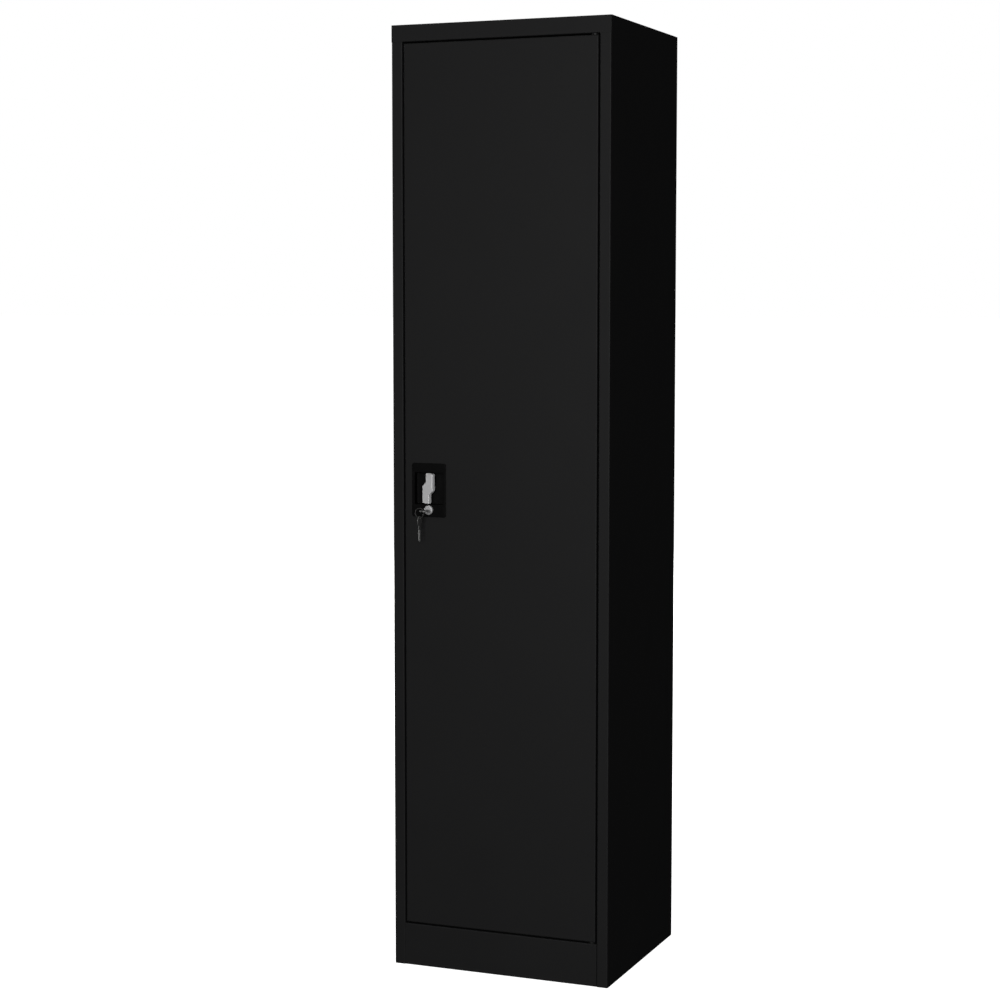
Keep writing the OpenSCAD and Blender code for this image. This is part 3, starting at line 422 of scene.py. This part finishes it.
handle_place = joint_place["handle_turn"]
key_place = joint_place["key_turn"]
cup_low, cup_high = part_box("handle_cup")
low, high = (cup_low.x, cup_low.z), (cup_high.x, cup_high.z)
recess_low = (handle_place.x - RECESS_W / 2, cup_low.z + LOCK_BAND)
recess_high = (handle_place.x + RECESS_W / 2, cup_low.z + LOCK_BAND + RECESS_H)
post_places = [Vector((x, 0, z)) for x in (cup_low.x + POST_INSET, cup_high.x - POST_INSET)
               for z in (cup_low.z + POST_INSET, cup_high.z - POST_INSET)]
face_y = cup_low.y
bezel_back_y = FRONT_Y - BEZEL_STANDOFF
bearing_y = FRONT_Y + BEARING_END
floor_y = FRONT_Y + RECESS_DEPTH
cup_back_y = floor_y + CUP_WALL
spigot_y = FRONT_Y + SPIGOT_DEPTH
post_end_y = FRONT_Y + POST_END
well_y = post_end_y - WELL_DEPTH

bm = bmesh.new()
bezel = frame_rings(bm, low, high, BEZEL_R, (
    (0, bezel_back_y), (0, face_y + BEZEL_EDGE),
    (RIM_BEND * BEZEL_EDGE, face_y + RIM_BEND * BEZEL_EDGE), (BEZEL_EDGE, face_y)))
recess = frame_rings(bm, recess_low, recess_high, RECESS_R, (
    (-RECESS_RIM, face_y), (-RIM_BEND * RECESS_RIM, face_y + RIM_BEND * RECESS_RIM),
    (0, face_y + RECESS_RIM), (DRAFT, floor_y - FLOOR_EDGE),
    (DRAFT + FLOOR_BEND, floor_y - FLOOR_BEND), (DRAFT + FLOOR_EDGE, floor_y)))
bearing = round_rings(bm, handle_place, ROUND_SIDES, (
    (SHAFT_HOLE_R + BEARING_LAND, floor_y), (SHAFT_HOLE_R, floor_y), (SHAFT_HOLE_R, bearing_y),
    (BEARING_R, bearing_y), (BEARING_R, cup_back_y)))
barrel_hole = round_rings(bm, key_place, ROUND_SIDES, (
    (BARREL_HOLE_R, face_y), (BARREL_HOLE_R, spigot_y)))
barrel_boss = round_rings(bm, key_place, ROUND_SIDES, (
    (BARREL_HOLE_R, spigot_y - BOSS_SUNK), (BARREL_BOSS_R, spigot_y - BOSS_SUNK),
    (BARREL_BOSS_R, cup_back_y), (BARREL_HOLE_R, cup_back_y)))
posts = [round_rings(bm, place, POST_SIDES, (
    (POST_R, spigot_y), (POST_R, post_end_y), (WELL_R, post_end_y), (WELL_R, well_y)))
    for place in post_places]
spigot = frame_rings(bm, low, high, SPIGOT_R, (
    (SPIGOT_INSET, bezel_back_y), (SPIGOT_INSET, spigot_y)))
shell = frame_rings(bm, recess_low, recess_high, BEZEL_R,
                    ((-CUP_WALL, spigot_y), (-CUP_WALL, cup_back_y)))
for rings in (bezel, recess, [recess[-1], bearing[0]], bearing, barrel_hole, [bezel[0], spigot[0]],
              spigot, shell, barrel_boss, [barrel_boss[-1], barrel_boss[0]], *posts):
    bridged(bm, rings)
for post in posts:
    bmesh.ops.edgeloop_fill(bm, edges=post[-1])
post_feet = [edge for post in posts for edge in post[0]]
flat(bm, bezel[-1] + recess[0] + barrel_hole[0], facing=-1)
flat(bm, spigot[-1] + shell[0] + barrel_hole[-1] + post_feet)
flat(bm, shell[-1] + bearing[-1])
bmesh.ops.remove_doubles(bm, verts=bm.verts, dist=SAME_POINT)
bmesh.ops.recalc_face_normals(bm, faces=bm.faces)
shown("cup_moulding", bm, plastic, "handle_cup")

# Turn handle: a zinc die casting, plated and lacquered in satin silver. Its grip is stepped, so
# that each half gives the fingers an edge to push. A round shaft and a square tail run back from
# it to the rotor, which a steel washer holds on.
SILVER_DARK = (0.47, 0.47, 0.475)
SILVER_PALE = (0.54, 0.54, 0.545)
GRIP_REACH = 0.0298
GRIP_OUTER = 0.0106
GRIP_INNER = 0.0034
SLOPE_INNER = 0.012
SLOPE_OUTER = 0.005
GRIP_THICK = 0.012
GRIP_CORNER = 0.0012
GRIP_EDGE = 0.0011
GRIP_STEPS = 4
END_STEPS = 8
CORNER_ABOVE = math.radians(25)
RIM_ABOVE = math.radians(60)
COLLAR_R = 0.008
COLLAR_SUNK = 0.0004
COLLAR_FILLET = 0.0006
COLLAR_EDGE = 0.0004
COLLAR_GAP = 0.0003
SHAFT_R = 0.006
SHAFT_END = 0.0140
SQUARE_W = 0.008
SQUARE_START = 0.0138
WASHER_EDGE = 0.0002

silver = Finish("satin_silver", {"Metallic": 0.35, "Specular IOR Level": 0.4})
silver.set("Base Color", silver.tint(silver.noise(200, detail=3), SILVER_DARK, SILVER_PALE))
silver.set("Roughness", 0.38 + 0.12 * silver.noise(400, detail=3))
silver.relief(silver.noise(1600), depth=0.00004, strength=0.3)


def thickened(bm, faces, by):
    """Gives flat faces a thickness, by a vector."""
    made = bmesh.ops.extrude_face_region(bm, geom=faces)
    far = [v for v in made["geom"] if isinstance(v, bmesh.types.BMVert)]
    bmesh.ops.translate(bm, verts=far, vec=by)
    bmesh.ops.recalc_face_normals(bm, faces=bm.faces)


def square_tail(bm, centre, width, front_y, back_y):
    """A square bar that runs from one depth to another."""
    bar = bmesh.ops.create_cube(bm, size=1)["verts"]
    bmesh.ops.scale(bm, verts=bar, vec=(width, back_y - front_y, width))
    bmesh.ops.translate(bm, verts=bar, vec=(centre.x, (front_y + back_y) / 2, centre.z))


grip_low, grip_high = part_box("turn_handle")
end_xs = [-GRIP_OUTER + (GRIP_OUTER + GRIP_INNER) * k / END_STEPS for k in range(END_STEPS + 1)]
lower_end = [(x, -math.sqrt(GRIP_REACH ** 2 - x ** 2)) for x in end_xs]
outline = [(-GRIP_OUTER, SLOPE_OUTER), *lower_end, (GRIP_INNER, -SLOPE_INNER)]
outline += [(-x, -z) for x, z in outline]
bm = bmesh.new()
face = bm.faces.new([bm.verts.new((handle_place.x + x, grip_low.y, handle_place.z + z))
                     for x, z in outline])
thickened(bm, [face], (0, GRIP_THICK, 0))
corners = [e for e in bm.edges if abs(e.verts[0].co.y - e.verts[1].co.y) > GRIP_THICK / 2
           and e.calc_face_angle() > CORNER_ABOVE]
rounded_off(bm, corners, GRIP_CORNER, GRIP_STEPS)
rims = [e for e in bm.edges if abs(e.verts[0].co.y - e.verts[1].co.y) < SAME_POINT
        and e.calc_face_angle(0) > RIM_ABOVE]
rounded_off(bm, rims, GRIP_EDGE, GRIP_STEPS)
grip_back_y = grip_low.y + GRIP_THICK
collar_end_y = floor_y - COLLAR_GAP
collar = round_rings(bm, handle_place, ROUND_SIDES, (
    (COLLAR_R + COLLAR_FILLET, grip_back_y - COLLAR_SUNK), (COLLAR_R, grip_back_y + COLLAR_FILLET),
    (COLLAR_R, collar_end_y - COLLAR_EDGE), (COLLAR_R - COLLAR_EDGE, collar_end_y),
    (SHAFT_R, collar_end_y), (SHAFT_R, FRONT_Y + SHAFT_END)))
bridged(bm, collar)
bmesh.ops.edgeloop_fill(bm, edges=collar[0])
bmesh.ops.edgeloop_fill(bm, edges=collar[-1])
square_tail(bm, handle_place, SQUARE_W, FRONT_Y + SQUARE_START, grip_high.y)
bmesh.ops.recalc_face_normals(bm, faces=bm.faces)
shown("grip_casting", bm, silver, "turn_handle")

eased("handle_washer", WASHER_EDGE, steel)

# Lock cylinder: a plated barrel with a domed collar, held from behind by a hexagon nut. Its plug
# has the keyway and carries the locking cam on a square tail.
BARREL_R = 0.008
BORE_R = 0.00605
BORE_EDGE = 0.0003
DOME_R = 0.0092
DOME_PROUD = 0.004
DOME_PROFILE = ((0, 0.0022), (0.0003, 0.0012), (0.0009, 0.0005), (0.0018, 0.0001))
CYLINDER_SIDES = 64
PLUG_R = 0.006
PLUG_EDGE = 0.0003
PLUG_TAIL_W = 0.006
PLUG_TAIL_L = 0.002
KEYWAY = (0.0076, 0.0026)
KEYWAY_R = 0.0005
KEYWAY_MOUTH_R = 0.0006
KEYWAY_EDGE = 0.00025
KEYWAY_DEPTH = 0.0232
NUT_EDGE = 0.0004

barrel_back_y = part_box("lock_cylinder")[1].y
dome_y = face_y - DOME_PROUD
bm = bmesh.new()
barrel = round_rings(bm, key_place, CYLINDER_SIDES, (
    (BORE_R, barrel_back_y), (BARREL_R, barrel_back_y), (BARREL_R, face_y), (DOME_R, face_y),
    *((DOME_R - inside, dome_y + depth) for inside, depth in DOME_PROFILE),
    (BORE_R + BORE_EDGE, dome_y), (BORE_R, dome_y + BORE_EDGE)))
bridged(bm, barrel)
bridged(bm, [barrel[-1], barrel[0]])
bmesh.ops.recalc_face_normals(bm, faces=bm.faces)
shown("cylinder_barrel", bm, silver, "lock_cylinder")

plug_low, plug_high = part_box("lock_plug")
plug_back_y = plug_high.y - PLUG_TAIL_L
keyway_low = (key_place.x - KEYWAY[0] / 2, key_place.z - KEYWAY[1] / 2)
keyway_high = (key_place.x + KEYWAY[0] / 2, key_place.z + KEYWAY[1] / 2)
bm = bmesh.new()
plug = round_rings(bm, key_place, CYLINDER_SIDES, (
    (PLUG_R - PLUG_EDGE, plug_low.y), (PLUG_R, plug_low.y + PLUG_EDGE), (PLUG_R, plug_back_y)))
mouth = frame_rings(bm, keyway_low, keyway_high, KEYWAY_MOUTH_R, ((-KEYWAY_EDGE, plug_low.y),))
keyway = mouth + frame_rings(bm, keyway_low, keyway_high, KEYWAY_R, (
    (0, plug_low.y + KEYWAY_EDGE), (0, plug_low.y + KEYWAY_DEPTH)))
bridged(bm, plug)
bridged(bm, keyway)
flat(bm, plug[0] + keyway[0], facing=-1)
bmesh.ops.edgeloop_fill(bm, edges=keyway[-1])
bmesh.ops.edgeloop_fill(bm, edges=plug[-1])
square_tail(bm, key_place, PLUG_TAIL_W, plug_back_y, plug_high.y)
bmesh.ops.recalc_face_normals(bm, faces=bm.faces)
shown("plug_face", bm, silver, "lock_plug")

eased("lock_nut", NUT_EDGE, steel)

# Screws: plated pan-head screws with a cross recess, four through the back of the lock case into
# the cup's posts, one on the handle's shaft and one on the cam. Each row gives where they sit, the
# radius of the shank, and the radius and height of the head.
SCREWS = {
    "case_screws": (post_places, 0.002, 0.004, 0.0022),
    "handle_screw": ([handle_place], 0.0025, 0.0045, 0.003),
    "cam_screw": ([key_place], 0.0015, 0.0035, 0.0017),
}
HEAD_PROFILE = ((1.0, 0.0), (1.0, 0.35), (0.95, 0.62), (0.83, 0.86), (0.7, 1.0))
SCREW_SIDES = 24
CROSS_ARM = 0.52
CROSS_HALF_W = 0.13
CROSS_FLOOR = 0.3
CROSS_TAPER = (0.7, 0.8)


def closed(bm, points):
    """The edges that join a row of points to a ring."""
    verts = [bm.verts.new(point) for point in points]
    return [bm.edges.new(pair) for pair in zip(verts, verts[1:] + verts[:1])]


def cross_ring(bm, centre, arm, half_w, y):
    """The edges of a cross that faces the back."""
    middle = Vector((centre.x, y, centre.z))
    quarter = (Vector((arm, 0, -half_w)), Vector((arm, 0, half_w)), Vector((half_w, 0, half_w)))
    return closed(bm, [middle + Matrix.Rotation(-turn * math.pi / 2, 3, "Y") @ corner
                       for turn in range(4) for corner in quarter])


for node, (places, shank_r, head_r, head_h) in SCREWS.items():
    screw_low, screw_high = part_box(node)
    seat_y = screw_high.y - head_h
    head_profile = [(share * head_r, seat_y + rise * head_h) for share, rise in HEAD_PROFILE]
    arm, half_w = CROSS_ARM * head_r, CROSS_HALF_W * head_r
    bm = bmesh.new()
    for place in places:
        shank = round_rings(bm, place, SCREW_SIDES, ((shank_r, screw_low.y), (shank_r, seat_y)))
        head = round_rings(bm, place, SCREW_SIDES, head_profile)
        cross = [cross_ring(bm, place, arm, half_w, screw_high.y),
                 cross_ring(bm, place, CROSS_TAPER[0] * arm, CROSS_TAPER[1] * half_w,
                            seat_y + CROSS_FLOOR * head_h)]
        bridged(bm, shank + head)
        bridged(bm, cross)
        flat(bm, head[-1] + cross[0])
        flat(bm, cross[-1])
        bmesh.ops.edgeloop_fill(bm, edges=shank[0])
    bmesh.ops.recalc_face_normals(bm, faces=bm.faces)
    shown(f"{node}_turned", bm, steel, node)

# Keys: two flat keys stamped from nickel-plated steel, with round bows, a stop shoulder and the
# cuts on one edge. One is in the lock and one hangs beside it. All nickel higher than the hanging
# key's neck, on its bow and on the key in the lock, is painted darker as painted shade; below it the
# blade keeps the bright plated tone.
NICKEL_PAINTED_SHADE = (0.13, 0.13, 0.128)
NICKEL_BRIGHT = (0.42, 0.42, 0.415)
BOW_R = 0.010
BOW_MIDDLE = 0.006
BOW_HOLE_R = 0.0025
BOW_STEPS = 40
HOLE_SIDES = 32
STEM_W = 0.009
NECK = 0.023
BLADE_L = 0.023
BLADE_W = 0.007
TIP_SLOPE = 0.003
CUTS = (0.0016, 0.0004, 0.0018, 0.0008, 0.002)
CUT_PITCH = 0.002
KEY_T = 0.002
KEY_EDGE = 0.00025
FLAT_FACING = 0.9

hang_place = joint_place["spare_hang"]
spare_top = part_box("spare_key")[1].z - BOW_R + BOW_MIDDLE

nickel = Finish("nickel_painted_shade", {"Metallic": 0.7})
height = nickel.node("ShaderNodeSeparateXYZ", {}, {"Vector": nickel.place()}, "Z")
# Painted shade: the nickel higher than the hanging key's neck is painted darker.
painted_shade_mask = height > spare_top - NECK
tone_and_painted_shade = 0.9 + 0.2 * nickel.noise(90, detail=3) - 0.85 * painted_shade_mask
nickel.set("Base Color", nickel.tint(tone_and_painted_shade, NICKEL_PAINTED_SHADE, NICKEL_BRIGHT))
nickel.set("Roughness", 0.36 + 0.18 * nickel.noise(220, detail=4))
nickel.relief(nickel.noise(1500, detail=3), depth=0.00004, strength=0.3)


def key(name, turn_axis, hole_place, node):
    """A key that is turned a quarter round an axis and has the hole of its bow at a place."""
    bm = bmesh.new()
    half_blade, half_stem, half_t = BLADE_W / 2, STEM_W / 2, KEY_T / 2
    tip = NECK + BLADE_L
    cut_start = tip - TIP_SLOPE
    meet = math.asin(half_stem / BOW_R)
    bow = [meet + (2 * math.pi - 2 * meet) * k / BOW_STEPS for k in range(BOW_STEPS + 1)]
    outline = [(BOW_MIDDLE + BOW_R * math.cos(a), BOW_R * math.sin(a)) for a in bow]
    outline += [(NECK, -half_stem), (NECK, -half_blade), (cut_start, -half_blade),
                (tip, TIP_SLOPE - half_blade), (cut_start, half_blade)]
    outline += [(cut_start - CUT_PITCH * (i + 1), half_blade - cut) for i, cut in enumerate(CUTS)]
    outline += [(cut_start - CUT_PITCH * (len(CUTS) + 1), half_blade), (NECK, half_blade),
                (NECK, half_stem)]
    edges = closed(bm, [(x, y, -half_t) for x, y in outline])
    hole = bmesh.ops.create_circle(bm, segments=HOLE_SIDES, radius=BOW_HOLE_R,
                                   matrix=Matrix.Translation((0, 0, -half_t)))
    bmesh.ops.triangle_fill(bm, use_beauty=True, edges=edges + edges_of(hole["verts"]),
                            normal=(0, 0, -1))
    thickened(bm, bm.faces[:], (0, 0, KEY_T))
    for side in (-1, 1):
        flats = [f for f in bm.faces if f.normal.z * side > FLAT_FACING]
        bmesh.ops.inset_region(bm, faces=flats, thickness=KEY_EDGE, depth=0, use_even_offset=True)
        rim = {v for f in flats if f.is_valid for v in f.verts}
        outer = {v for v in bm.verts if v.co.z * side > half_t - SAME_POINT} - rim
        bmesh.ops.translate(bm, verts=list(outer), vec=(0, 0, -side * KEY_EDGE))
    put = Matrix.Translation(hole_place) @ Matrix.Rotation(math.pi / 2, 4, turn_axis)
    bmesh.ops.transform(bm, matrix=put, verts=bm.verts)
    shown(name, bm, nickel, node)


key("key_in_lock", "Z", (key_place.x, hang_place.y, key_place.z), "door_key")
key("key_hanging", "Y", (hang_place.x, hang_place.y, spare_top), "spare_key")

# Key ring: a split ring of two flat turns of spring wire, pressed against each other, which holds
# the bows of both keys. Its plating is worn off, so that it is darker and duller than they are.
WIRE_DARK = (0.03, 0.03, 0.03)
WIRE_PALE = (0.06, 0.06, 0.058)
RING_WIRE = (0.0016, 0.00058)
RING_TURNS = 2
RING_STEPS = 72

worn_wire = Finish("worn_spring_wire", {"Metallic": 0.6, "Specular IOR Level": 0.3})
worn_wire.set("Base Color", worn_wire.tint(worn_wire.noise(300, detail=3), WIRE_DARK, WIRE_PALE))
worn_wire.set("Roughness", 0.42 + 0.16 * worn_wire.noise(400, detail=3))
worn_wire.relief(worn_wire.noise(1800), depth=0.00003, strength=0.3)

ring_low, ring_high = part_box("key_ring")
ring_r = (ring_high.x - ring_low.x - RING_WIRE[0]) / 2
ring_rise = ring_high.y - ring_low.y - RING_WIRE[1]
wire_start = (hang_place.x + ring_r, ring_low.y + RING_WIRE[1] / 2, hang_place.z)
bm = bmesh.new()
bmesh.ops.create_circle(bm, segments=WIRE_SIDES, radius=0.5)
bmesh.ops.scale(bm, verts=bm.verts, vec=(*RING_WIRE, 1))
bmesh.ops.translate(bm, verts=bm.verts, vec=wire_start)
wound(bm, hang_place, (0, 1, 0), ring_rise, RING_TURNS, RING_STEPS)
shown("split_ring", bm, worn_wire, "key_ring")

# Studio: a pale floor that runs on to a white surround, which both look bright and hardly light
# the cabinet. A big soft light stands in front at head height, others at the sides and behind,
# and a wide sun overhead. One small light reaches only the handle, and one only the cylinder.
FLOOR_HALF = 150
FLOOR_DROP = 0.0002
FLOOR_COLOUR = (0.86, 0.86, 0.86, 1)
FLOOR_GLOW = 0.86
WHITE = (1, 1, 1, 1)
SURROUND_SEEN = 1.0
SURROUND_LIGHT = 0.025
SUN_STRENGTH = 0.8
SUN_SPREAD = math.radians(40)
CABINET_MIDDLE = (0, 0, 0.9)
# Each soft light's place, what it is aimed at, its width, height and watts, and what it is kept to
SOFT_LIGHTS = {
    "front_light": ((1.55, -7.0, 1.85), CABINET_MIDDLE, 3.0, 3.0, 280, ()),
    "side_light": ((5.0, -1.6, 2.2), CABINET_MIDDLE, 2.0, 3.0, 4, ()),
    "left_light": ((-5.5, 0.5, 2.4), CABINET_MIDDLE, 2.5, 2.5, 170, ()),
    "back_light": ((-2.4, 6.4, 2.6), CABINET_MIDDLE, 3.0, 3.0, 250, ()),
    "handle_light": ((3.2, -2.4, 1.2), handle_place, 0.8, 1.6, 90, ("grip_casting",)),
    "cylinder_light": ((-0.9, -2.6, 2.6), handle_place, 0.8, 0.8, 16,
                       ("cylinder_barrel", "plug_face")),
}

bm = bmesh.new()
bmesh.ops.create_grid(bm, x_segments=1, y_segments=1, size=FLOOR_HALF,
                      matrix=Matrix.Translation((0, 0, -FLOOR_DROP)))
studio_floor = bpy.data.objects.new("studio_floor", bpy.data.meshes.new("studio_floor"))
bm.to_mesh(studio_floor.data)
bm.free()
bpy.context.scene.collection.objects.link(studio_floor)
pale = Finish("studio_pale", {
    "Base Color": FLOOR_COLOUR, "Roughness": 0.9, "Specular IOR Level": 0.0,
    "Emission Color": WHITE, "Emission Strength": FLOOR_GLOW,
})
studio_floor.data.materials.append(pale.material)
studio_floor.visible_glossy = False
studio_floor.visible_diffuse = False
studio_floor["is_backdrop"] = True

surround = bpy.data.worlds.new("surround")
backdrop = Look(surround, "Background", {"Color": WHITE})
seen = backdrop.node("ShaderNodeLightPath", {}, {}, "Is Camera Ray")
backdrop.set("Strength", SURROUND_LIGHT + (SURROUND_SEEN - SURROUND_LIGHT) * seen)
bpy.context.scene.world = surround

for name, (place, aim, width, height, watts, kept_to) in SOFT_LIGHTS.items():
    lamp = bpy.data.lights.new(name, "AREA")
    lamp.shape = "RECTANGLE"
    lamp.size = width
    lamp.size_y = height
    lamp.energy = watts
    softbox = bpy.data.objects.new(name, lamp)
    softbox.location = place
    softbox.rotation_euler = (Vector(aim) - Vector(place)).to_track_quat("-Z", "Y").to_euler()
    bpy.context.scene.collection.objects.link(softbox)
    if kept_to:
        lit = bpy.data.collections.new(f"lit_by_{name}")
        for piece in kept_to:
            lit.objects.link(bpy.data.objects[piece])
        softbox.light_linking.receiver_collection = lit

sun = bpy.data.lights.new("overhead_light", "SUN")
sun.energy = SUN_STRENGTH
sun.angle = SUN_SPREAD
bpy.context.scene.collection.objects.link(bpy.data.objects.new("overhead_light", sun))

low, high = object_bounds()
